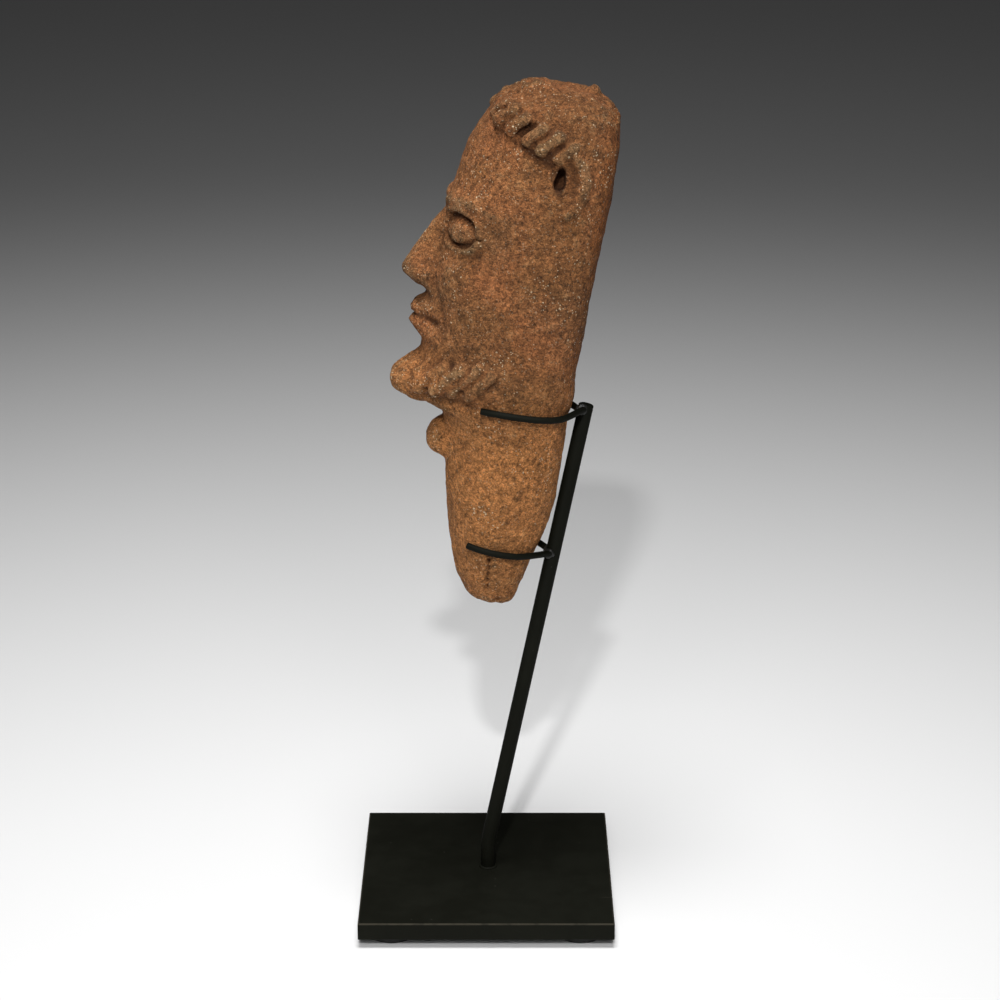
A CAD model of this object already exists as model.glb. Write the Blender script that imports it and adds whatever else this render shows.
"""A fired clay funerary head held by a small black steel stand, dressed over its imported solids.

Lengths in the classes are millimetres unless their names say otherwise; the scene itself is in metres.
"""

import logging
import math
from dataclasses import dataclass, field
from typing import Iterable, Sequence

import bmesh
import bpy
import numpy as np
from mathutils import Euler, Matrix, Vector
from mathutils import noise as value_noise


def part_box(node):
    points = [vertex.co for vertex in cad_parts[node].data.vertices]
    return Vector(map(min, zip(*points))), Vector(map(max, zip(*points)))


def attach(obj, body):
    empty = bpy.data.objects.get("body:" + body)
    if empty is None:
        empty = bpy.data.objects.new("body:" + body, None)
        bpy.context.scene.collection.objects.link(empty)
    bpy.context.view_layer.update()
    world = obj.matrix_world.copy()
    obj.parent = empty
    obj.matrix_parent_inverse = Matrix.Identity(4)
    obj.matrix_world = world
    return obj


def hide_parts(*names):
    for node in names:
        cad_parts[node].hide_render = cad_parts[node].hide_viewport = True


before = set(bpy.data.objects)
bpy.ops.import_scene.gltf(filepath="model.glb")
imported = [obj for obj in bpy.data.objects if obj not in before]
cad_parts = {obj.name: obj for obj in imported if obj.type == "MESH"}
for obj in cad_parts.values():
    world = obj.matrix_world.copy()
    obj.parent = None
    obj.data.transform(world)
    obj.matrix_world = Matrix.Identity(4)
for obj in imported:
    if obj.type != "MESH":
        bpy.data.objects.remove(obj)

LOG = logging.getLogger("funerary_head")
MM = 0.001
SIDES = (("left", -1.0), ("right", 1.0))
Spot = tuple[float, float, float]
Colour = Spot
Piece = bpy.types.Object
Material = bpy.types.Material
Tree = bpy.types.NodeTree
Node = bpy.types.Node
Socket = bpy.types.NodeSocket


def deselect_all() -> None:
    """Leave nothing selected, and be in object mode."""
    if bpy.context.object is not None and bpy.context.object.mode != "OBJECT":
        bpy.ops.object.mode_set(mode="OBJECT")
    bpy.ops.object.select_all(action="DESELECT")


def make_active(piece: Piece) -> None:
    """Select one object alone and make it the active one.

    Args:
        piece: The object to work on.
    """
    deselect_all()
    piece.select_set(True)
    bpy.context.view_layer.objects.active = piece


def bake_place(piece: Piece) -> None:
    """Move an object's place, turn and size into its mesh.

    Args:
        piece: The object to settle at the origin.
    """
    make_active(piece)
    bpy.ops.object.transform_apply(location=True, rotation=True, scale=True)


def apply_modifiers(piece: Piece) -> None:
    """Apply every modifier of an object, from the first to the last.

    Args:
        piece: The object whose modifiers become its mesh.
    """
    make_active(piece)
    for name in [modifier.name for modifier in piece.modifiers]:
        bpy.ops.object.modifier_apply(modifier=name)


def linked(name: str, data: bpy.types.ID) -> Piece:
    """A new object in the scene that shows some data.

    Args:
        name: The object's name.
        data: Its mesh, curve, camera or light.

    Returns:
        The object, at the origin.
    """
    piece = bpy.data.objects.new(name, data)
    bpy.context.scene.collection.objects.link(piece)
    return piece


def copy_of_node(node: str, name: str) -> Piece:
    """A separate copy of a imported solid, with its loose triangles merged.

    Args:
        node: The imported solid's name.
        name: The new piece's name.

    Returns:
        The copy, active and selected.
    """
    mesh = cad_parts[node].data.copy()
    mesh.name = name
    mesh.materials.clear()
    piece = linked(name, mesh)
    make_active(piece)
    bpy.ops.object.mode_set(mode="EDIT")
    bpy.ops.mesh.select_all(action="SELECT")
    bpy.ops.mesh.remove_doubles(threshold=1e-6)
    bpy.ops.mesh.normals_make_consistent(inside=False)
    bpy.ops.object.mode_set(mode="OBJECT")
    return piece


def dress(piece: Piece, material: Material) -> None:
    """Give a piece one material all over.

    Args:
        piece: The piece to dress.
        material: Its only material.
    """
    piece.data.materials.clear()
    piece.data.materials.append(material)


def dress_node(node: str, material: Material) -> None:
    """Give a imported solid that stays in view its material.

    Args:
        node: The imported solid's name.
        material: The material for its slots.
    """
    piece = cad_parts[node]
    if not piece.material_slots:
        piece.data.materials.append(None)
    for slot in piece.material_slots:
        slot.link = "OBJECT"
        slot.material = material


def even_skin(piece: Piece, voxel: float, rounds: int) -> None:
    """Remesh a piece to one skin of small squares and take the edge off its facets.

    Args:
        piece: The piece to remesh.
        voxel: The squares' side, in millimetres.
        rounds: How many times it is softened.
    """
    remesh = piece.modifiers.new("even", "REMESH")
    remesh.mode = "VOXEL"
    remesh.voxel_size = voxel * MM
    soften = piece.modifiers.new("soften", "SMOOTH")
    soften.factor = 0.5
    soften.iterations = rounds
    apply_modifiers(piece)


def round_edges(piece: Piece, width: float) -> None:
    """Round a piece's sharp edges and shade it smooth between them.

    Args:
        piece: The piece to finish.
        width: How wide the rounding is, in millimetres.
    """
    rounding = piece.modifiers.new("rounding", "BEVEL")
    rounding.width = width * MM
    rounding.segments = 3
    rounding.angle_limit = math.radians(60.0)
    apply_modifiers(piece)
    bpy.ops.object.shade_smooth_by_angle(angle=math.radians(40.0))


class NodeSheet:
    """Lays out nodes in a tree, so that a finish reads as a list of steps."""

    def __init__(self, tree: Tree) -> None:
        """Keep the tree that the nodes go into."""
        self.tree = tree
        self.column = 0

    def add(self, kind: str, **settings: object) -> Node:
        """Add a node and set its properties.

        Args:
            kind: The node's type name.
            settings: Properties of the node by name.

        Returns:
            The new node.
        """
        node = self.tree.nodes.new(kind)
        node.location = (self.column * 180, 0)
        self.column += 1
        for name, value in settings.items():
            setattr(node, name, value)
        return node

    def join(self, source: Socket, target: Socket) -> None:
        """Link an output to an input."""
        self.tree.links.new(source, target)

    def feed(self, target: Socket, value: object) -> None:
        """Link a socket, or set a plain value, on an input.

        Args:
            target: The input to fill.
            value: An output socket, a number or a colour.
        """
        if isinstance(value, Socket):
            self.join(value, target)
        elif isinstance(value, (tuple, list)) and len(value) == 3 and target.type == "RGBA":
            target.default_value = (*value, 1.0)
        else:
            target.default_value = value

    def math(self, operation: str, first: object, second: object = 0.0) -> Socket:
        """One sum of two values.

        Args:
            operation: The Math node's operation.
            first: A socket or a number.
            second: A socket or a number.

        Returns:
            The result's socket.
        """
        node = self.add("ShaderNodeMath", operation=operation)
        self.feed(node.inputs[0], first)
        self.feed(node.inputs[1], second)
        return node.outputs[0]

    def times(self, first: object, *others: object) -> Socket:
        """The product of some values.

        Args:
            first: A socket or a number.
            others: More sockets or numbers.

        Returns:
            The product's socket.
        """
        for other in others:
            first = self.math("MULTIPLY", first, other)
        return first

    def ramp(self, value: object, low: object, high: object, start: float = 0.0, end: float = 1.0) -> Socket:
        """Map a value smoothly from one range to another, held at both ends.

        Args:
            value: A socket or a number.
            low: Where the result is start.
            high: Where the result is end.
            start: The result at low.
            end: The result at high.

        Returns:
            The result's socket.
        """
        node = self.add("ShaderNodeMapRange", interpolation_type="SMOOTHSTEP")
        for socket, amount in zip(node.inputs[:5], (value, low, high, start, end)):
            self.feed(socket, amount)
        return node.outputs[0]

    def mix(self, share: object, first: object, second: object) -> Socket:
        """Mix two colours.

        Args:
            share: How much of the second shows.
            first: The colour below.
            second: The colour above.

        Returns:
            The mixed colour's socket.
        """
        node = self.add("ShaderNodeMix", data_type="RGBA")
        self.feed(node.inputs[0], share)
        self.feed(node.inputs[6], first)
        self.feed(node.inputs[7], second)
        return node.outputs[2]

    def noise(
        self, place: object, scale: object, detail: float = 3.0, roughness: float = 0.55, swirl: float = 0.0
    ) -> Socket:
        """Cloudy noise between 0 and 1.

        Args:
            place: The coordinates it is read at.
            scale: How many lumps to a metre, as a socket or a number.
            detail: How many finer layers it has.
            roughness: How strong the finer layers are.
            swirl: How far it is stirred into streaks.

        Returns:
            The noise value's socket.
        """
        node = self.add("ShaderNodeTexNoise")
        self.feed(node.inputs["Vector"], place)
        self.feed(node.inputs["Scale"], scale)
        node.inputs["Detail"].default_value = detail
        node.inputs["Roughness"].default_value = roughness
        node.inputs["Distortion"].default_value = swirl
        return node.outputs[0]

    def scaled(self, place: object, scale: object) -> Socket:
        """Coordinates or a colour multiplied by one number.

        Args:
            place: The coordinates or the colour.
            scale: A socket or a number.

        Returns:
            The product's socket.
        """
        node = self.add("ShaderNodeVectorMath", operation="SCALE")
        self.feed(node.inputs[0], place)
        self.feed(node.inputs["Scale"], scale)
        return node.outputs[0]

    def bump(self, height: object, strength: float, depth: float, shader: Node) -> None:
        """Roughen a shader.

        Args:
            height: How high each place stands.
            strength: How strongly that shows.
            depth: How deep it is, in metres.
            shader: The shader to roughen.
        """
        bump = self.add("ShaderNodeBump")
        bump.inputs["Strength"].default_value = strength
        bump.inputs["Distance"].default_value = depth
        self.join(height, bump.inputs["Height"])
        self.join(bump.outputs[0], shader.inputs["Normal"])


def new_group(name: str, inputs: dict[str, tuple[str, object]], outputs: dict[str, str]) -> tuple[
    Tree, NodeSheet, Node, Node
]:
    """Start a shader node group.

    Args:
        name: The group's name.
        inputs: Each input's socket type and starting value, by name.
        outputs: Each output's socket type, by name.

    Returns:
        The group, a sheet to lay its nodes on, its input node and its output node.
    """
    group = bpy.data.node_groups.new(name, "ShaderNodeTree")
    for label, (kind, value) in inputs.items():
        socket = group.interface.new_socket(label, in_out="INPUT", socket_type=kind)
        if value is not None:
            socket.default_value = value
    for label, kind in outputs.items():
        group.interface.new_socket(label, in_out="OUTPUT", socket_type=kind)
    sheet = NodeSheet(group)
    return group, sheet, sheet.add("NodeGroupInput"), sheet.add("NodeGroupOutput")


def grit_group() -> Tree:
    """Loose grains set in a surface: each has its own tone, and a few stand out as flecks.

    Returns:
        The node group.
    """
    group, sheet, entry, leave = new_group(
        "set_grains",
        {
            "Place": ("NodeSocketVector", None),
            "Grains per metre": ("NodeSocketFloat", 1000.0),
            "Share": ("NodeSocketFloat", 0.1),
            "Size": ("NodeSocketFloat", 0.4),
        },
        {"Tone": "NodeSocketFloat", "Fleck": "NodeSocketFloat", "Height": "NodeSocketFloat"},
    )
    bent = sheet.add("ShaderNodeVectorMath", operation="ADD")
    wobble = sheet.add("ShaderNodeTexNoise")
    grains = sheet.scaled(entry.outputs["Place"], entry.outputs["Grains per metre"])
    sheet.join(grains, wobble.inputs["Vector"])
    wobble.inputs["Scale"].default_value = 1.3
    sheet.join(grains, bent.inputs[0])
    sheet.join(sheet.scaled(wobble.outputs[1], 0.7), bent.inputs[1])
    cells = sheet.add("ShaderNodeTexVoronoi")
    sheet.join(bent.outputs[0], cells.inputs["Vector"])
    cells.inputs["Scale"].default_value = 1.0
    parts = sheet.add("ShaderNodeSeparateColor")
    sheet.join(cells.outputs["Color"], parts.inputs[0])
    chosen = sheet.math("LESS_THAN", parts.outputs[1], entry.outputs["Share"])
    size = entry.outputs["Size"]
    inside = sheet.ramp(cells.outputs["Distance"], size, sheet.times(size, 0.55))
    sheet.join(parts.outputs[0], leave.inputs["Tone"])
    sheet.join(sheet.times(chosen, inside), leave.inputs["Fleck"])
    sheet.join(sheet.ramp(cells.outputs["Distance"], 0.75, 0.1), leave.inputs["Height"])
    return group


def wear_group() -> Tree:
    """Ragged wear: a mask broken up by noise, so that paint or skin goes in patches.

    Returns:
        The node group.
    """
    group, sheet, entry, leave = new_group(
        "ragged_wear",
        {
            "Place": ("NodeSocketVector", None),
            "Reach": ("NodeSocketFloat", 0.5),
            "Lumps per metre": ("NodeSocketFloat", 300.0),
            "Softness": ("NodeSocketFloat", 0.12),
        },
        {"Mask": "NodeSocketFloat"},
    )
    lumps = sheet.noise(entry.outputs["Place"], entry.outputs["Lumps per metre"], 4.0, 0.62)
    limit = sheet.math("SUBTRACT", 1.0, entry.outputs["Reach"])
    low, high = (sheet.math(way, limit, entry.outputs["Softness"]) for way in ("SUBTRACT", "ADD"))
    sheet.join(sheet.ramp(lumps, low, high), leave.inputs["Mask"])
    return group


class Effects:
    """The node groups that several finishes share, each built once."""

    def __init__(self) -> None:
        """Build the groups."""
        self.grit = grit_group()
        self.wear = wear_group()

    def use(self, sheet: NodeSheet, group: Tree, **values: object) -> Node:
        """Place a group in a material.

        Args:
            sheet: The material's sheet.
            group: The group to place.
            values: Values or sockets for its inputs, with underscores for the spaces in their names.

        Returns:
            The group's node.
        """
        node = sheet.add("ShaderNodeGroup")
        node.node_tree = group
        for name, value in values.items():
            sheet.feed(node.inputs[name.replace("_", " ")], value)
        return node


def new_material(name: str) -> tuple[Material, NodeSheet, Node, Socket]:
    """Start a material with its shader and its coordinates.

    Args:
        name: The material's name.

    Returns:
        The material, a sheet for its nodes, its shader and the object coordinates' socket.
    """
    material = bpy.data.materials.new(name)
    material.use_nodes = True
    sheet = NodeSheet(material.node_tree)
    shader = material.node_tree.nodes["Principled BSDF"]
    place = sheet.add("ShaderNodeTexCoord").outputs["Object"]
    return material, sheet, shader, place


@dataclass(frozen=True)
class FiredClay:
    """Coarse red-brown clay: gritty, mottled, paler and greyer where it stands out, darker in its hollows."""

    brown: Colour = (0.205, 0.086, 0.029)
    ruddy: Colour = (0.29, 0.108, 0.038)
    olive: Colour = (0.105, 0.056, 0.024)
    rust: Colour = (0.215, 0.068, 0.0135)
    orange: Colour = (0.46, 0.192, 0.06)
    dark: Colour = (0.07, 0.026, 0.010)
    worn: Colour = (0.205, 0.14, 0.068)
    fleck: Colour = (0.8, 0.64, 0.42)
    pit: Colour = (0.03, 0.014, 0.008)
    roughness: float = 0.86

    def build(self, effects: Effects) -> Material:
        """Make the material.

        Args:
            effects: The shared node groups.

        Returns:
            The material.
        """
        material, sheet, shader, place = new_material("fired_clay")
        relief, hollow, bare, rust = (
            sheet.add("ShaderNodeAttribute", attribute_name=name).outputs["Fac"]
            for name in ("relief", "hollow", "bare", "rust")
        )
        fine, coarse, crumbs = (
            effects.use(sheet, effects.grit, Place=place, Grains_per_metre=count, Share=share, Size=size).outputs
            for count, share, size in ((1800.0, 0.1, 0.5), (810.0, 0.07, 0.36), (900.0, 0.06, 0.4))
        )
        clouds = sheet.noise(place, 55.0, 4.0, 0.62)
        stains = sheet.noise(place, 26.0, 3.0, 0.55)
        tint = sheet.noise(place, 300.0, 5.0, 0.72)
        grain = sheet.noise(place, 980.0, 6.0, 0.8, 0.9)

        colour = sheet.mix(sheet.ramp(clouds, 0.3, 0.75), self.brown, self.ruddy)
        colour = sheet.mix(sheet.times(rust, 0.85), colour, self.rust)
        colour = sheet.mix(sheet.times(bare, 0.7), colour, self.orange)
        colour = sheet.mix(sheet.ramp(stains, 0.5, 0.7, 0.0, 0.36), colour, self.olive)
        colour = sheet.mix(sheet.ramp(tint, 0.44, 0.32, 0.0, 0.25), colour, self.dark)
        colour = sheet.mix(sheet.ramp(tint, 0.54, 0.72, 0.0, 0.35), colour, self.worn)
        patches = effects.use(sheet, effects.wear, Place=place, Reach=0.5, Lumps_per_metre=95.0, Softness=0.16)
        raised = sheet.ramp(relief, 0.08, 0.6)
        colour = sheet.mix(sheet.times(raised, patches.outputs["Mask"], 0.5), colour, self.worn)
        tone = sheet.times(
            sheet.ramp(fine["Tone"], 0.0, 1.0, 0.8, 1.22),
            sheet.ramp(grain, 0.32, 0.7, 0.32, 2.0),
            sheet.ramp(tint, 0.32, 0.68, 0.72, 1.34),
        )
        colour = sheet.mix(sheet.times(hollow, 0.85), sheet.scaled(colour, tone), self.dark)
        colour = sheet.mix(sheet.times(crumbs["Fleck"], 0.2), colour, self.pit)
        flecks = sheet.math("MAXIMUM", fine["Fleck"], coarse["Fleck"])
        heaps = sheet.math("MAXIMUM", sheet.ramp(sheet.noise(place, 70.0, 4.0, 0.65), 0.48, 0.62, 0.2, 1.0), raised)
        shown = sheet.times(flecks, sheet.ramp(hollow, 0.7, 0.1, 0.2, 0.8), heaps)
        sheet.join(sheet.mix(shown, colour, self.fleck), shader.inputs["Base Color"])

        sheet.join(sheet.ramp(flecks, 0.0, 1.0, self.roughness, 0.4), shader.inputs["Roughness"])
        height = sheet.math("ADD", sheet.times(fine["Height"], 0.25), grain)
        height = sheet.math("ADD", height, sheet.times(tint, 1.2))
        height = sheet.math("SUBTRACT", height, sheet.times(crumbs["Fleck"], 0.6))
        sheet.bump(height, 0.95, 0.0015, shader)
        shader.inputs["Specular IOR Level"].default_value = 0.2
        return material


@dataclass(frozen=True)
class BlackSteel:
    """Matt black paint on steel, with a faint warm tint, fine scratches and worn edges."""

    paint: Colour = (0.0042, 0.0044, 0.0026)
    dusty: Colour = (0.006, 0.0063, 0.004)
    metal: Colour = (0.036, 0.032, 0.023)
    roughness: float = 0.62

    def build(self, effects: Effects, name: str, worn_edges: "EdgeBox | None" = None) -> Material:
        """Make the material.

        Args:
            effects: The shared node groups.
            name: The material's name.
            worn_edges: The slab whose upper edges the paint has gone from, if any.

        Returns:
            The material.
        """
        material, sheet, shader, place = new_material(name)
        clouds = sheet.noise(place, 60.0, 4.0, 0.6)
        colour = sheet.mix(sheet.ramp(clouds, 0.35, 0.7), self.paint, self.dusty)
        dust = effects.use(sheet, effects.grit, Place=place, Grains_per_metre=520.0, Share=0.02, Size=0.16)
        colour = sheet.mix(sheet.times(dust.outputs["Fleck"], 0.5), colour, (0.05, 0.048, 0.04))
        stretched = sheet.add("ShaderNodeMapping")
        sheet.join(place, stretched.inputs["Vector"])
        stretched.inputs["Rotation"].default_value = (0.3, 0.2, 0.9)
        stretched.inputs["Scale"].default_value = (30.0, 900.0, 300.0)
        lines = sheet.noise(stretched.outputs[0], 1.0, 2.0, 0.5)
        scratches = sheet.times(sheet.ramp(lines, 0.735, 0.76), sheet.ramp(clouds, 0.5, 0.62))
        colour = sheet.mix(sheet.times(scratches, 0.35), colour, self.metal)
        gone: object = 0.0
        if worn_edges is not None:
            gone = worn_edges.mask(sheet, effects, place)
            colour = sheet.mix(gone, colour, self.metal)
            sheet.join(sheet.times(gone, 0.5), shader.inputs["Metallic"])
        sheet.join(colour, shader.inputs["Base Color"])
        shader.inputs["Specular IOR Level"].default_value = 0.07
        skin = sheet.noise(place, 2600.0, 2.0, 0.5)
        rough = sheet.ramp(clouds, 0.3, 0.75, self.roughness, self.roughness + 0.14)
        sheet.join(sheet.math("SUBTRACT", rough, sheet.times(scratches, 0.12)), shader.inputs["Roughness"])
        sheet.bump(sheet.math("ADD", skin, sheet.times(scratches, -0.6)), 0.28, 0.00012, shader)
        return material


@dataclass(frozen=True)
class EdgeBox:
    """A slab whose rim is rubbed bare in places."""

    half_side: float = 44.45
    top: float = 9.55
    width: float = 0.3

    def mask(self, sheet: NodeSheet, effects: Effects, place: Socket) -> Socket:
        """How bare the paint is, from 0 to 1.

        Args:
            sheet: The material's sheet.
            effects: The shared node groups.
            place: The object coordinates.

        Returns:
            The mask's socket.
        """
        parts = sheet.add("ShaderNodeSeparateXYZ")
        sheet.join(place, parts.inputs[0])
        across = sheet.math("MAXIMUM", *(sheet.math("ABSOLUTE", parts.outputs[axis]) for axis in (0, 1)))
        rim = sheet.ramp(across, (self.half_side - self.width - 0.35) * MM, (self.half_side - self.width) * MM)
        high = sheet.ramp(parts.outputs[2], (self.top - self.width - 0.3) * MM, (self.top - self.width) * MM)
        edge = sheet.times(rim, high)
        patches = effects.use(sheet, effects.wear, Place=place, Reach=0.6, Lumps_per_metre=200.0, Softness=0.16)
        return sheet.times(edge, patches.outputs["Mask"], 0.85)


@dataclass(frozen=True)
class PatchyFinish:
    """A dark skin with ragged patches of another colour, and a fine grain."""

    name: str
    skin: Colour
    patch: Colour
    wear: dict[str, float]
    strength: float
    metallic: float
    roughness: tuple[float, float]
    grain: tuple[float, float, float]
    relief: tuple[float, float]

    def build(self, effects: Effects) -> Material:
        """Make the material.

        Args:
            effects: The shared node groups.

        Returns:
            The material.
        """
        material, sheet, shader, place = new_material(self.name)
        mask = effects.use(sheet, effects.wear, Place=place, **self.wear).outputs["Mask"]
        colour = sheet.mix(sheet.times(mask, self.strength), self.skin, self.patch)
        sheet.join(colour, shader.inputs["Base Color"])
        sheet.join(sheet.times(mask, self.metallic), shader.inputs["Metallic"])
        sheet.join(sheet.ramp(mask, 0.0, 1.0, *self.roughness), shader.inputs["Roughness"])
        sheet.bump(sheet.noise(place, *self.grain), *self.relief, shader)
        return material


WELD_METAL = PatchyFinish(
    name="weld_metal",
    skin=(0.005, 0.005, 0.004),
    patch=(0.26, 0.245, 0.22),
    wear={"Reach": 0.35, "Lumps_per_metre": 900.0, "Softness": 0.05},
    strength=1.0,
    metallic=1.0,
    roughness=(0.5, 0.32),
    grain=(1500.0, 3.0, 0.6),
    relief=(0.5, 0.0003),
)
PAD_RUBBER = PatchyFinish(
    name="pad_rubber",
    skin=(0.008, 0.008, 0.008),
    patch=(0.03, 0.029, 0.027),
    wear={"Reach": 0.42, "Lumps_per_metre": 260.0, "Softness": 0.2},
    strength=0.6,
    metallic=0.0,
    roughness=(0.7, 0.9),
    grain=(3200.0, 2.0, 0.5),
    relief=(0.3, 0.0001),
)


def bell(distance: np.ndarray, width: float) -> np.ndarray:
    """1 at no distance, falling smoothly towards 0 past a width."""
    return np.exp(-((distance / width) ** 2))


def step_up(value: np.ndarray, low: float, high: float) -> np.ndarray:
    """0 below low, 1 above high, smooth between."""
    share = np.clip((value - low) / (high - low), 0.0, 1.0)
    return share * share * (3.0 - 2.0 * share)


def rows_of(items: bpy.types.bpy_prop_collection, name: str) -> np.ndarray:
    """A vector property of each item, as rows.

    Args:
        items: The items, such as a mesh's points.
        name: The property.

    Returns:
        The vectors.
    """
    values = np.empty(len(items) * 3)
    items.foreach_get(name, values)
    return values.reshape(-1, 3)


def route_distance(points: np.ndarray, route: Sequence[Sequence[float]]) -> np.ndarray:
    """Distance of points from a route of straight stretches, in space or in one flat view.

    Args:
        points: The points' coordinates, with a row for each axis.
        route: The corners of the route in the same coordinates.

    Returns:
        The distance of each point from the nearest stretch.
    """
    best = np.full(points.shape[1], 1e9)
    for start, end in zip(route, route[1:]):
        begin = np.array(start)[:, None]
        along = np.array(end)[:, None] - begin
        share = np.clip(((points - begin) * along).sum(axis=0) / (along * along).sum(), 0.0, 1.0)
        best = np.minimum(best, np.sqrt(((points - begin - share * along) ** 2).sum(axis=0)))
    return best


@dataclass(frozen=True)
class Roll:
    """A short roll of clay laid on the figure's left side, and again on its right.

    Places are back, aside and up from the figure's tip, along its own lean.
    """

    low: Spot
    high: Spot
    out: Spot
    radius: float = 2.8
    lift: float = 0.15


def groove_route(first: Roll, second: Roll) -> list[Vector]:
    """The line of the groove between two neighbouring rolls, a little over their middles.

    Args:
        first: One roll.
        second: The next roll.

    Returns:
        The groove's two ends.
    """
    out = 0.5 * (Vector(first.out) + Vector(second.out))
    return [0.5 * (Vector(getattr(first, end)) + Vector(getattr(second, end))) + 0.9 * out for end in ("low", "high")]


HAIR_ROLLS = (
    Roll((-4.2, 26.0, 162.3), (-0.9, 25.4, 165.1), (0.0, 0.97, 0.22)),
    Roll((-9.5, 25.1, 164.1), (-5.3, 24.6, 167.8), (-0.1, 0.96, 0.26)),
    Roll((-14.3, 23.3, 166.0), (-10.4, 23.3, 169.6), (-0.29, 0.9, 0.32)),
    Roll((-19.6, 19.6, 168.2), (-15.9, 20.2, 171.6), (-0.51, 0.78, 0.36), 2.8, 0.6),
    Roll((-23.4, 15.1, 169.6), (-19.8, 16.9, 173.0), (-0.67, 0.6, 0.44), 2.7, 0.8),
    Roll((-25.8, 9.6, 170.6), (-22.4, 11.4, 174.5), (-0.79, 0.35, 0.5), 2.4, -0.1),
)
JAW_ROLLS = (
    Roll((-36.6, 11.6, 76.6), (-29.4, 17.4, 84.6), (-0.55, 0.8, -0.1), 2.8, 0.5),
    Roll((-30.8, 16.6, 77.6), (-23.6, 21.2, 86.2), (-0.46, 0.86, -0.1), 2.7, 0.5),
    Roll((-25.4, 19.6, 78.8), (-18.2, 23.6, 87.6), (-0.42, 0.9, -0.1), 2.6, 0.3),
    Roll((-20.2, 21.8, 80.0), (-14.4, 24.8, 86.6), (-0.35, 0.93, -0.1), 2.2, 0.1),
)


@dataclass(frozen=True)
class Ball:
    """A stretched ball of clay on the figure's middle line, with its middle and half-sizes."""

    middle: Spot
    sizes: Spot


KNOB = Ball((-25.3, 0.0, 57.3), (6.5, 8.4, 7.3))
BEARD_END = Ball((-37.2, 0.0, 75.8), (9.9, 12.5, 7.2))
CROWN_LUMP = Ball((4.7, 2.0, 178.7), (2.9, 4.2, 4.8))
# Chips out of the peg's tip: place, radius and depth
CHIPS = (
    ((1.6, -7.4, 3.2), 1.3, 1.8),
    ((1.2, -4.6, 1.2), 1.3, 1.7),
    ((6.6, -6.6, 5.2), 1.6, 0.8),
    ((-2.0, -3.0, 0.2), 5.0, 0.5),
    ((9.4, -6.5, 11.0), 2.0, 0.6),
)
# The split in the peg's tip, from its top down
SPLIT = ((-4.3, -14.8, 20.7), (-3.8, -14.1, 17.5), (-3.5, -12.9, 13.2), (-3.2, -11.9, 10.1), (-3.0, -10.4, 7.2))
EAR_RISE = 2.6
EAR_RIM = tuple(
    (back, aside, up + EAR_RISE)
    for back, aside, up in (
        (-0.6, 25.4, 161.6),
        (2.1, 25.5, 159.9),
        (4.4, 25.8, 157.1),
        (5.6, 26.1, 153.7),
        (5.8, 26.4, 150.0),
        (5.1, 26.7, 146.5),
        (3.6, 27.0, 143.2),
        (1.6, 27.1, 140.6),
    )
)


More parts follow.
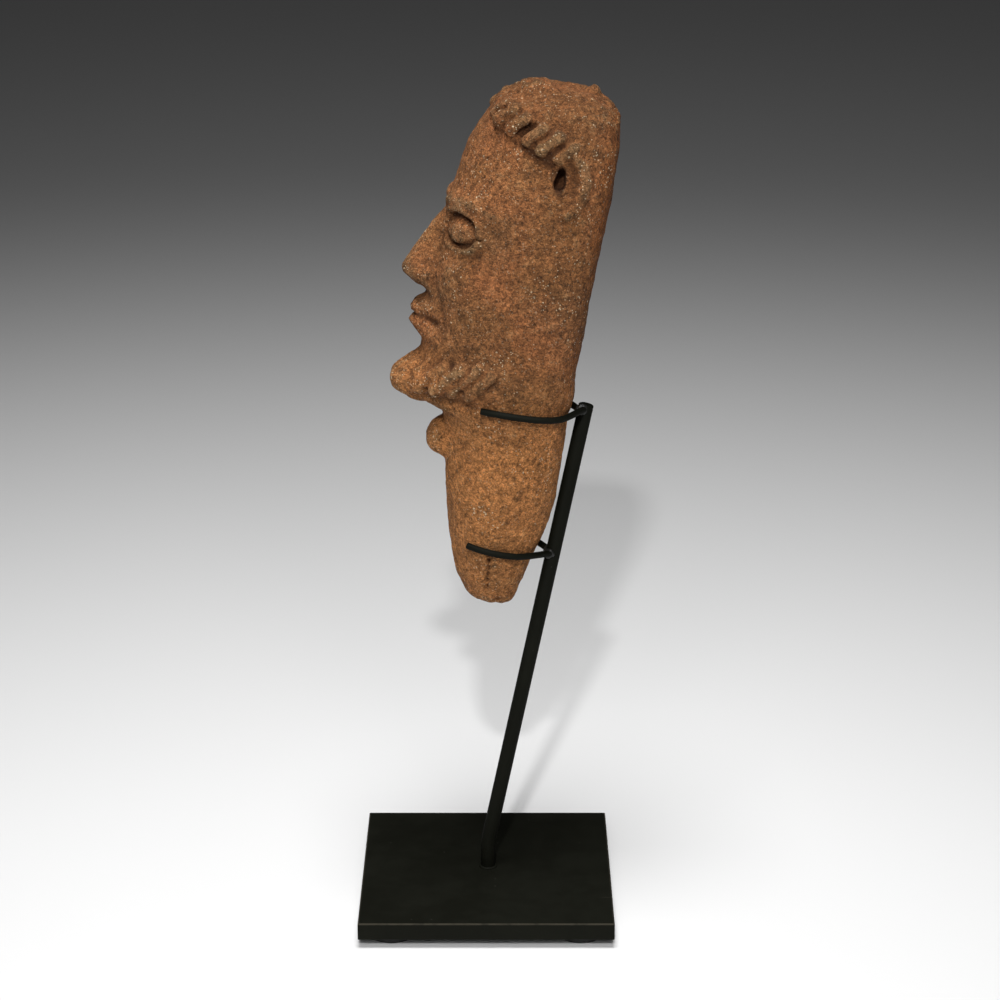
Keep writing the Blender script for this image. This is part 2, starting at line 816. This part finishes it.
@dataclass
class ClayHead:
    """The clay figure: its packed form remeshed finely, its carving sharpened, and its skin roughened."""

    lean: float = 9.1
    tip: Spot = (2.006, 0.0, 112.15)
    voxel: float = 0.66
    smoothing: int = 2
    crown: float = 172.0
    eye: tuple[float, float] = (14.4, 131.0)
    piece: Piece = field(init=False)
    grime: np.ndarray = field(init=False)

    def build(self, material: Material) -> Piece:
        """Make the clay figure.

        Args:
            material: The clay.

        Returns:
            The finished piece.
        """
        self.piece = copy_of_node("terracotta_figure", "clay_figure")
        rolls = self._rolls() + self._ear_rims() + [self._ball(ball) for ball in (KNOB, BEARD_END, CROWN_LUMP)]
        make_active(self.piece)
        for roll in rolls:
            roll.select_set(True)
        bpy.ops.object.join()
        self._remesh()
        self._carve()
        self._roughen()
        self._mark_relief()
        make_active(self.piece)
        bpy.ops.object.shade_smooth()
        dress(self.piece, material)
        return self.piece

    def _stood(self, place: Sequence[float], side: float = 1.0) -> Vector:
        """A place of the figure's own frame as it stands, in metres.

        Args:
            place: Back, aside and up from the tip, in millimetres.
            side: 1 for the figure's right side, -1 for its left.

        Returns:
            The place in the scene.
        """
        turn = math.radians(self.lean)
        back, aside, up = place
        return MM * Vector(
            (
                self.tip[0] + back * math.cos(turn) + up * math.sin(turn),
                self.tip[1] + side * aside,
                self.tip[2] - back * math.sin(turn) + up * math.cos(turn),
            )
        )

    def _capsule(self) -> Piece:
        """A ball of radius 1 pulled out to a capsule 1 long between its ends' middles.

        Returns:
            The capsule.
        """
        deselect_all()
        bpy.ops.mesh.primitive_uv_sphere_add(segments=24, ring_count=16, radius=1.0)
        shape = bpy.context.object
        bpy.ops.object.mode_set(mode="EDIT")
        bpy.ops.mesh.select_all(action="DESELECT")
        mesh = bmesh.from_edit_mesh(shape.data)
        for vertex in mesh.verts:
            vertex.select_set(vertex.co.z > 0.01)
        mesh.select_flush_mode()
        bmesh.update_edit_mesh(shape.data)
        bpy.ops.transform.translate(value=(0.0, 0.0, 1.0))
        bpy.ops.object.mode_set(mode="OBJECT")
        return shape

    def _rolls(self) -> list[Piece]:
        """The hair and beard rolls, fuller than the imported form's, on both sides.

        Returns:
            The rolls.
        """
        first = self._capsule()
        rolls = []
        for number, roll in enumerate(HAIR_ROLLS + JAW_ROLLS):
            for side in (-1.0, 1.0):
                lift = Vector((roll.out[0], side * roll.out[1], roll.out[2])) * roll.lift
                low, high = (self._stood(end, side) + MM * lift for end in (roll.low, roll.high))
                along = high - low
                shape = linked("roll", first.data.copy())
                swell = 1.0 + 0.09 * math.sin(2.3 * number + side)
                radius = roll.radius * MM * swell
                for vertex in shape.data.vertices:
                    far = vertex.co.z > 1.0
                    beyond = vertex.co.z - 1.0 if far else min(vertex.co.z, 0.0)
                    base = along.length if far else max(vertex.co.z, 0.0) * along.length
                    vertex.co = Vector((vertex.co.x * radius, vertex.co.y * radius, base + beyond * radius))
                shape.rotation_euler = along.to_track_quat("Z", "Y").to_euler()
                shape.location = low
                bake_place(shape)
                rolls.append(shape)
        bpy.data.objects.remove(first)
        return rolls

    def _ball(self, ball: Ball) -> Piece:
        """One stretched ball, turned with the figure's lean.

        Args:
            ball: Its middle and half-sizes.

        Returns:
            The ball.
        """
        deselect_all()
        bpy.ops.mesh.primitive_uv_sphere_add(segments=32, ring_count=20, radius=MM)
        shape = bpy.context.object
        shape.scale = ball.sizes
        shape.rotation_euler = (0.0, math.radians(self.lean), 0.0)
        shape.location = self._stood(ball.middle)
        bake_place(shape)
        return shape

    def _ear_rims(self) -> list[Piece]:
        """The raised rim that curves behind each ear's slot.

        Returns:
            The two rims.
        """
        rims = []
        for side in (-1.0, 1.0):
            data = bpy.data.curves.new("ear_rim", "CURVE")
            data.dimensions = "3D"
            data.bevel_depth = 2.5 * MM
            data.bevel_resolution = 5
            data.use_fill_caps = True
            line = data.splines.new("NURBS")
            line.points.add(len(EAR_RIM) - 1)
            for number, (point, spot) in enumerate(zip(line.points, EAR_RIM)):
                point.co = (*self._stood(spot, side), 1.0)
                point.radius = 1.0 - 0.35 * abs(number / (len(EAR_RIM) - 1) - 0.4) ** 1.5 * 2.0
            line.use_endpoint_u = True
            line.order_u = 3
            make_active(linked("ear_rim", data))
            bpy.ops.object.convert(target="MESH")
            rims.append(bpy.context.object)
        return rims

    def _remesh(self) -> None:
        """Join all to one even skin of small squares and take the edge off its facets."""
        even_skin(self.piece, self.voxel, self.smoothing)
        x, y, z = self._upright()
        back, _, up = KNOB.middle
        away = np.sqrt((x - back) ** 2 + (y * 0.9) ** 2 + (z - up) ** 2)
        seam = bell(away - 8.0, 2.6) * step_up(x, -29.5, -26.5)
        blend = self.piece.vertex_groups.new(name="knob_seam")
        for number in np.flatnonzero(seam > 0.05):
            blend.add([int(number)], float(seam[number]), "REPLACE")
        fade = self.piece.modifiers.new("knob_seam", "SMOOTH")
        fade.factor = 0.6
        fade.iterations = 24
        fade.vertex_group = blend.name
        apply_modifiers(self.piece)

    def _points(self) -> np.ndarray:
        """The piece's points in metres, as rows."""
        return rows_of(self.piece.data.vertices, "co")

    def _place(self, points: np.ndarray) -> None:
        """Put the piece's points at new places, in metres."""
        self.piece.data.vertices.foreach_set("co", points.reshape(-1))
        self.piece.data.update()

    def _push(self, amount: np.ndarray) -> None:
        """Move each point out along its normal.

        Args:
            amount: Millimetres for each point, inwards where it is below zero.
        """
        normals = rows_of(self.piece.data.vertex_normals, "vector")
        self._place(self._points() + normals * (amount * MM)[:, None])

    def _upright(self) -> tuple[np.ndarray, np.ndarray, np.ndarray]:
        """The points along the figure's own lean.

        Returns:
            How far back, across and up from its tip each lies, in millimetres.
        """
        x, y, z = (self._points() / MM - np.array(self.tip)).T
        turn = math.radians(self.lean)
        return x * math.cos(turn) - z * math.sin(turn), y, x * math.sin(turn) + z * math.cos(turn)

    def _soil(self, share: np.ndarray) -> None:
        """Keep at least this share of dirt, from 0 to 1, at each point."""
        self.grime = np.maximum(self.grime, share)

    def _carve(self) -> None:
        """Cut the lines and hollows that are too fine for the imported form."""
        x, y, z = own = self._upright()
        aside = np.abs(y)
        half = np.stack((x, aside, z))
        amount = np.zeros(len(x))
        self.grime = np.zeros(len(x))

        # Hair and beard: a groove between each two rolls
        for rolls, depth, width in ((HAIR_ROLLS, 2.3, 1.15), (JAW_ROLLS, 1.9, 1.1)):
            for pair in zip(rolls, rolls[1:]):
                away = route_distance(half, groove_route(*pair))
                amount -= depth * bell(away, width)
                self._soil(bell(away, width + 0.15))
        # Jaw: the line under the beard
        lows = [(-41.0, 4.0, 71.6), (-36.4, 10.0, 71.4), (-30.6, 15.0, 72.0), (-24.8, 18.6, 72.6), (-19.0, 21.4, 73.4)]
        amount -= 1.6 * bell(route_distance(half, lows), 2.6)
        # Back: the clay left a little proud over the upper clip
        amount += 0.9 * step_up(x, 11.0, 14.0) * bell(z - 80.5, 4.5)
        # Throat: the peg drawn in under the knob
        throat = step_up(-x, 18.0, 24.0) * step_up(aside, 12.0, 5.0)
        amount -= 2.2 * bell(np.hypot((x + 29.0) * 0.8, z - 47.6), 3.2) * throat
        # Hair: a groove under the row, fading towards the forehead
        away = route_distance(half, [(roll.low[0] - 1.6, roll.low[1], roll.low[2] - 2.9) for roll in HAIR_ROLLS])
        amount -= bell(away, 1.4) * step_up(x, -24.0, -14.0)
        self._soil(0.7 * bell(away, 1.1) * step_up(x, -24.0, -14.0))
        # Ear: a shallow cup round the slot, a rounder foot to the slot, and the dark inside it
        over, skin = z - EAR_RISE, step_up(aside, 18.0, 22.0)
        rim = step_up(np.hypot(x + 2.4, (over - 153.4) * 0.45), 1.8, 3.4)
        amount -= 1.3 * bell(np.hypot(x + 0.6, (over - 152.0) * 0.6), 3.4) * skin * rim
        amount -= 1.6 * bell(np.hypot(x + 2.6, over - 151.2), 1.5) * skin
        slot = np.hypot((x + 2.4) / 2.0, (over - 152.6) / 5.0)
        self._soil(step_up(slot, 1.2, 0.8) * step_up(aside, 15.0, 17.0))

        # Face: nostrils, the groove over the lip, the corners of the mouth and the fold beside it
        front = step_up(-x, 26.0, 32.0)
        amount -= 1.6 * front * bell(np.hypot(aside - 4.2, (z - 108.8) * 1.3), 1.6)
        amount -= 0.6 * front * bell(aside, 1.7) * step_up(z, 100.5, 103.0) * step_up(z, 108.5, 106.0)
        amount -= front * bell(np.hypot(aside - 11.5, z - 98.2), 1.8)
        amount -= 0.6 * bell(route_distance(half[1:], ((8.6, 111.5), (13.5, 105.0), (15.5, 97.5))), 1.5) * front
        self._carve_eyes(half, amount)
        lips = route_distance(half[1:], ((0.0, 98.9), (6.0, 99.2), (11.0, 98.4))) + 10.0 * (x > -24.0)
        amount -= bell(lips, 0.9) * (0.7 * step_up(aside, 4.5, 8.5) - 0.5 * step_up(aside, 7.5, 4.5))
        self._soil(0.9 * bell(lips, 0.8))
        # Crown: soil held in the clay on top
        self._soil(0.24 * step_up(z, 158.0, 171.0))
        # Beard: strands cut down its front and a parting along the jaw
        chin = step_up(-x, 33.0, 37.0) * step_up(z, 67.5, 70.0) * step_up(z, 88.0, 84.0)
        for strand in (0.0, 4.6, 9.2):
            amount -= 0.8 * chin * bell(aside - strand - (84.0 - z) * 0.12, 0.8)
        # Peg: the split in its tip, and chips out of its lower edge
        split = route_distance(np.stack(own), SPLIT)
        open_share = 0.6 + 0.4 * np.sin(z * 2.4)
        amount -= 1.6 * bell(split, 0.6) * open_share + 0.35 * bell(split, 1.6)
        self._soil(bell(split, 0.7) * open_share)
        for place, radius, depth in CHIPS:
            chip = bell(np.sqrt(sum((mine - at) ** 2 for mine, at in zip(own, place))), radius)
            amount -= depth * chip
            self._soil(chip * (0.8 if depth > 1.0 else 0.2))
        self._push(amount)

    def _carve_eyes(self, half: np.ndarray, amount: np.ndarray) -> None:
        """Cut the line round each eyeball and raise its lids and brow.

        Args:
            half: The points' back, aside and up, folded to one side, as rows.
            amount: Millimetres that each point moves out, changed in place.
        """
        x, aside, z = half
        across, over = aside - self.eye[0], z - self.eye[1]
        view = np.stack((across, over))
        front = step_up(-x, 12.0, 18.0)
        steps = np.linspace(-1.0, 1.0, 13)
        cut = np.full(len(x), 99.0)
        for rise in (5.4, -4.2):
            lid = [(7.6 * t, rise * math.sqrt(max(1.0 - t * t, 0.0))) for t in steps]
            fold = [(a, h + math.copysign(1.9, rise)) for a, h in lid]
            cut = np.minimum(cut, route_distance(view, lid))
            amount += 0.8 * front * bell(route_distance(view, fold), 1.1)
        edge = front * bell(cut, 0.8) * step_up(np.abs(across), 8.2, 5.8)
        amount -= 1.2 * edge
        self._soil(0.8 * edge)
        for corner in (-8.2, 8.4):
            amount += 1.1 * front * bell(np.hypot(across - corner, over), 1.6)
        amount += 0.5 * front * bell(np.hypot(across / 6.6, over / 4.2), 0.9)
        brow = [(-0.4 + 9.4 * t, 8.2 + 2.2 * (1.0 - t * t)) for t in steps]
        amount += 0.6 * front * bell(route_distance(view, brow), 1.7)

    def _roughen(self) -> None:
        """Give the skin its hand-made lumps, its grit and its broken crown."""
        x, y, z = self._upright()
        crown = step_up(z, self.crown - 2.0, self.crown + 4.0)
        points = self._points() / MM
        lumps = np.array([value_noise.fractal(Vector(p * 0.075), 0.9, 2.1, 3) for p in points])
        knobs = np.array([value_noise.fractal(Vector(p * 0.29 + 37.0), 0.8, 2.2, 2) for p in points])
        grit = np.array([value_noise.noise(Vector(p * 0.85 + 11.0)) for p in points])
        pits = np.array([value_noise.voronoi(Vector(p * 0.36))[0][0] for p in points])
        amount = 0.42 * lumps * (1.0 + crown) + 0.16 * knobs * (1.0 + 2.6 * crown) + 0.11 * grit
        amount -= 0.3 * np.clip(0.3 - pits, 0.0, 0.3) / 0.3 * step_up(lumps, -0.15, 0.35)
        self._push(amount)
        kept = self._points()
        kept[:, 2] = np.minimum(kept[:, 2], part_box("terracotta_figure")[1][2])
        self._place(kept)

    def _mark_relief(self) -> None:
        """Store how far each point stands out of, or lies under, its smoothed surroundings."""
        mesh = self.piece.data
        edges = np.empty(len(mesh.edges) * 2, dtype=np.int64)
        mesh.edges.foreach_get("vertices", edges)
        first, second = edges.reshape(-1, 2).T
        count = len(mesh.vertices)
        degree = np.bincount(first, minlength=count) + np.bincount(second, minlength=count)
        points, normals = self._points(), rows_of(mesh.vertex_normals, "vector")

        def averaged(values: np.ndarray, rounds: int) -> np.ndarray:
            """Each column of values, averaged over the neighbours again and again.

            Args:
                values: A row for each point.
                rounds: How many times.

            Returns:
                The averaged values.
            """
            for _ in range(rounds):
                around = np.stack(
                    [
                        np.bincount(first, values[second, k], count) + np.bincount(second, values[first, k], count)
                        for k in range(values.shape[1])
                    ],
                    axis=1,
                )
                values = 0.5 * values + 0.5 * around / degree[:, None]
            return values

        near = averaged(points, 8)
        far = averaged(near, 70)
        fine = np.einsum("ij,ij->i", points - near, normals) / MM
        broad = np.einsum("ij,ij->i", points - far, normals) / MM
        relief = averaged((0.55 * broad + 1.2 * fine)[:, None], 1)[:, 0]
        x, y, z = self._upright()
        bare = step_up(z, 100.0, 56.0) * step_up(z, -8.0, 16.0)
        rust = step_up(x, 8.0, 15.0) * step_up(z, 70.0, 95.0)
        for name, values in (
            ("relief", np.clip(relief, 0.0, 1.0)),
            ("hollow", np.clip(np.maximum(-relief * 1.25 - 0.12, self.grime), 0.0, 1.0)),
            ("bare", bare),
            ("rust", rust),
        ):
            layer = mesh.attributes.new(name, "FLOAT", "POINT")
            layer.data.foreach_set("value", values.astype(np.float32))


@dataclass
class SteelStand:
    """The plate's rod, wire clips and welds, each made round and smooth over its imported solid."""

    rod_radius: float = 2.6
    rod_foot: float = 0.5
    stub: float = 8.0
    bend_radius: float = 20.0
    lean: float = 11.6
    plate_top: float = 9.55
    rod_sides: int = 40
    wire_radius: float = 1.19
    wire_voxel: float = 0.26
    bead: Spot = (1.9, 1.3, 1.9)

    def build(self, paint: Material, weld: Material) -> list[Piece]:
        """Make the rod, the clips and the welds.

        Args:
            paint: The black paint.
            weld: The weld metal.

        Returns:
            The finished pieces.
        """
        pieces = [self._rod(paint)]
        for clip in ("upper_clip", "lower_clip"):
            for side in ("left", "right"):
                pieces.append(self._arm(f"{clip}_{side}", paint))
        pieces += self._welds(paint, weld)
        return pieces

    def _rod(self, paint: Material) -> Piece:
        """The bent rod, spun round its bend and cut off square at its top.

        Args:
            paint: The black paint.

        Returns:
            The rod.
        """
        deselect_all()
        bpy.ops.mesh.primitive_circle_add(
            vertices=self.rod_sides,
            radius=self.rod_radius * MM,
            fill_type="NGON",
            location=(self.rod_foot * MM, 0.0, self.plate_top * MM),
        )
        rod = bpy.context.object
        rod.name = "support_rod_steel"
        bake_place(rod)
        bpy.ops.object.mode_set(mode="EDIT")
        bpy.ops.mesh.select_all(action="SELECT")
        bpy.ops.mesh.extrude_region_move(TRANSFORM_OT_translate={"value": (0.0, 0.0, self.stub * MM)})
        bpy.ops.mesh.spin(
            steps=8,
            angle=-math.radians(self.lean),
            center=((self.rod_foot + self.bend_radius) * MM, 0.0, (self.plate_top + self.stub) * MM),
            axis=(0.0, 1.0, 0.0),
        )
        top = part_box("support_rod")[1][2]
        mesh = bmesh.from_edit_mesh(rod.data)
        end = [face for face in mesh.faces if face.select]
        middle = sum((face.calc_center_median() for face in end), Vector()) / len(end)
        along = Vector((math.sin(math.radians(self.lean)), 0.0, math.cos(math.radians(self.lean))))
        reach = (top - self.rod_radius * MM * along.x - middle.z) / along.z
        bpy.ops.mesh.extrude_region_move(TRANSFORM_OT_translate={"value": tuple(along * reach)})
        bpy.ops.mesh.select_all(action="SELECT")
        bpy.ops.mesh.remove_doubles(threshold=1e-6)
        bpy.ops.mesh.normals_make_consistent(inside=False)
        bpy.ops.object.mode_set(mode="OBJECT")
        round_edges(rod, 0.5)
        dress(rod, paint)
        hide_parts("support_rod")
        return rod

    def _arm(self, node: str, paint: Material) -> Piece:
        """One wire arm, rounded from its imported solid.

        Args:
            node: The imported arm's name.
            paint: The black paint.

        Returns:
            The arm.
        """
        arm = copy_of_node(node, f"{node}_wire")
        even_skin(arm, self.wire_voxel, 5)
        bpy.ops.object.shade_smooth()
        dress(arm, paint)
        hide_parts(node)
        return arm

    def _blob(self, name: str, place: Vector, size: Spot, seed: float) -> Piece:
        """A small uneven bead of weld metal.

        Args:
            name: The bead's name.
            place: Its middle, in millimetres.
            size: Its three half-sizes, in millimetres.
            seed: Shifts its unevenness.

        Returns:
            The bead.
        """
        deselect_all()
        bpy.ops.mesh.primitive_ico_sphere_add(subdivisions=4, radius=MM, location=place * MM)
        bead = bpy.context.object
        bead.name = name
        bead.scale = size
        bake_place(bead)
        for vertex in bead.data.vertices:
            out = vertex.co - place * MM
            lump = value_noise.noise(vertex.co * 900.0 + Vector((seed, seed, seed)))
            vertex.co = place * MM + out * (1.0 + 0.2 * lump)
        bpy.ops.object.shade_smooth()
        return bead

    def _welds(self, paint: Material, weld: Material) -> list[Piece]:
        """The beads where the clips meet the rod, and the fillet round the rod's foot.

        Args:
            paint: The black paint, for the fillet.
            weld: The weld metal, for the beads.

        Returns:
            The beads and the fillet.
        """
        beads = []
        slope = math.tan(math.radians(self.lean))
        base = self.rod_foot + self.bend_radius * (1.0 - math.cos(math.radians(self.lean)))
        start = self.plate_top + self.stub + self.bend_radius * math.sin(math.radians(self.lean))
        for clip in ("upper_clip", "lower_clip"):
            for side, sign in SIDES:
                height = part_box(f"{clip}_{side}")[0][2] / MM + self.wire_radius + 0.1
                middle = Vector((base + (height - start) * slope - 1.5, sign * 2.2, height - 0.2))
                beads.append(self._blob(f"{clip}_{side}_weld", middle, self.bead, height + sign))
        deselect_all()
        bpy.ops.mesh.primitive_torus_add(
            major_segments=48,
            minor_segments=12,
            major_radius=(self.rod_radius + 0.1) * MM,
            minor_radius=0.55 * MM,
            location=(self.rod_foot * MM, 0.0, (self.plate_top + 0.12) * MM),
        )
        fillet = bpy.context.object
        fillet.name = "rod_foot_weld"
        bake_place(fillet)
        for vertex in fillet.data.vertices:
            lump = value_noise.noise(vertex.co * 700.0)
            vertex.co.z += 0.12 * MM * lump
            vertex.co.z = max(vertex.co.z, (self.plate_top - 0.3) * MM)
        bpy.ops.object.shade_smooth()
        beads.append(fillet)
        for bead in beads:
            dress(bead, paint if bead is fillet else weld)
        return beads


@dataclass
class Pads:
    """Four round rubber pads with rolled edges, under the plate's corners."""

    radius: float = 8.0
    height: float = 3.2
    reach: float = 32.95
    edge: float = 0.5

    def build(self, rubber: Material) -> list[Piece]:
        """Model one pad and copy it to every corner.

        Args:
            rubber: The pads' rubber.

        Returns:
            The pads.
        """
        deselect_all()
        bpy.ops.mesh.primitive_cylinder_add(
            vertices=64, radius=self.radius * MM, depth=self.height * MM, location=(0.0, 0.0, self.height * MM / 2)
        )
        first = bpy.context.object
        bake_place(first)
        bpy.ops.object.mode_set(mode="EDIT")
        bpy.ops.mesh.select_all(action="DESELECT")
        mesh = bmesh.from_edit_mesh(first.data)
        for face in mesh.faces:
            face.select_set(face.normal.z < -0.9)
        bmesh.update_edit_mesh(first.data)
        bpy.ops.mesh.inset(thickness=1.4 * MM, depth=0.0)
        bpy.ops.mesh.inset(thickness=0.3 * MM, depth=-0.35 * MM)
        bpy.ops.object.mode_set(mode="OBJECT")
        round_edges(first, self.edge)
        pads = []
        for end, x in (("front", -1.0), ("back", 1.0)):
            for side, y in SIDES:
                pad = linked(f"rubber_pad_{end}_{side}", first.data.copy())
                pad.location = (x * self.reach * MM, y * self.reach * MM, 0.0)
                bake_place(pad)
                dress(pad, rubber)
                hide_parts(f"pad_{end}_{side}")
                pads.append(pad)
        bpy.data.objects.remove(first)
        return pads


@dataclass
class Studio:
    """The camera, a plain pale floor and soft lights."""

    camera_place: Spot = (4.78, -850.5, 436.95)
    pitch: float = 18.7
    focal_pixels: float = 2608.0
    picture: float = 1000.0
    floor_side: float = 14.0
    floor_grey: float = 0.71
    sky_grey: float = 0.8
    sky_strength: float = 0.045

    def build(self) -> None:
        """Set up everything that isn't part of the object."""
        self._camera()
        self._floor()
        self._lights()

    def _camera(self) -> None:
        """The camera at the photograph's angle."""
        data = bpy.data.cameras.new("studio_camera")
        data.sensor_width = 36.0
        data.lens = self.focal_pixels / self.picture * data.sensor_width
        data.clip_start = 0.01
        data.clip_end = 50.0
        camera = linked("studio_camera", data)
        camera.location = Vector(self.camera_place) * MM
        camera.rotation_euler = Euler((math.radians(90.0 - self.pitch), 0.0, 0.0))
        bpy.context.scene.camera = camera

    def _floor(self) -> None:
        """A pale floor that runs out of view."""
        deselect_all()
        bpy.ops.mesh.primitive_plane_add(size=self.floor_side, location=(0.0, self.floor_side * 0.35, 0.0))
        floor = bpy.context.object
        floor.name = "studio_floor"
        bake_place(floor)
        material, _, shader, _ = new_material("studio_floor")
        shader.inputs["Base Color"].default_value = (*[self.floor_grey] * 3, 1.0)
        shader.inputs["Roughness"].default_value = 0.9
        dress(floor, material)

    def _lights(self) -> None:
        """Soft boxes before and over the object, and a dim sky."""
        self._soft_box("key", (0.0, -1.15, 0.95), (0.0, -0.05, 0.13), 0.9, 1.3, 60.0)
        self._soft_box("flash", (-0.06, -1.215, 1.071), (0.0, 0.1, 0.1), 0.05, 1.2, 60.0)
        self._soft_box("top", (-0.02, -0.3, 1.6), (-0.03, -0.14, 0.0), 0.6, 4.2, 70.0)
        world = bpy.data.worlds.new("studio_sky")
        world.use_nodes = True
        colour, strength = world.node_tree.nodes["Background"].inputs[:2]
        colour.default_value = (*[self.sky_grey] * 3, 1.0)
        strength.default_value = self.sky_strength
        bpy.context.scene.world = world
        bpy.context.scene.view_settings.view_transform = "Standard"

    def _soft_box(self, name: str, place: Spot, aim: Spot, size: float, power: float, spread: float) -> None:
        """One square area light.

        Args:
            name: The light's name.
            place: Where it stands, in metres.
            aim: What it faces, in metres.
            size: Its side, in metres.
            power: Its power in watts.
            spread: How wide its beam is, in degrees.
        """
        data = bpy.data.lights.new(name, "AREA")
        data.energy = power
        data.size = size
        data.spread = math.radians(spread)
        light = linked(name, data)
        light.location = place
        light.rotation_euler = (Vector(aim) - Vector(place)).to_track_quat("-Z", "Y").to_euler()


def main() -> None:
    """Build the scene piece by piece."""
    logging.basicConfig(level=logging.INFO, format="%(name)s %(message)s")
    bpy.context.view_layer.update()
    Studio().build()
    effects = Effects()
    steel = BlackSteel()

    clay = ClayHead().build(FiredClay().build(effects))
    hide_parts("terracotta_figure")

    dress_node("base_plate", steel.build(effects, "black_plate", EdgeBox()))
    pieces = [clay]
    pieces += SteelStand().build(steel.build(effects, "black_steel"), WELD_METAL.build(effects))
    pieces += Pads().build(PAD_RUBBER.build(effects))
    for piece in pieces:
        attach(piece, "root")
        LOG.info("%s: %d faces", piece.name, len(piece.data.polygons))
    bpy.context.view_layer.update()


if __name__ == "__main__":
    main()
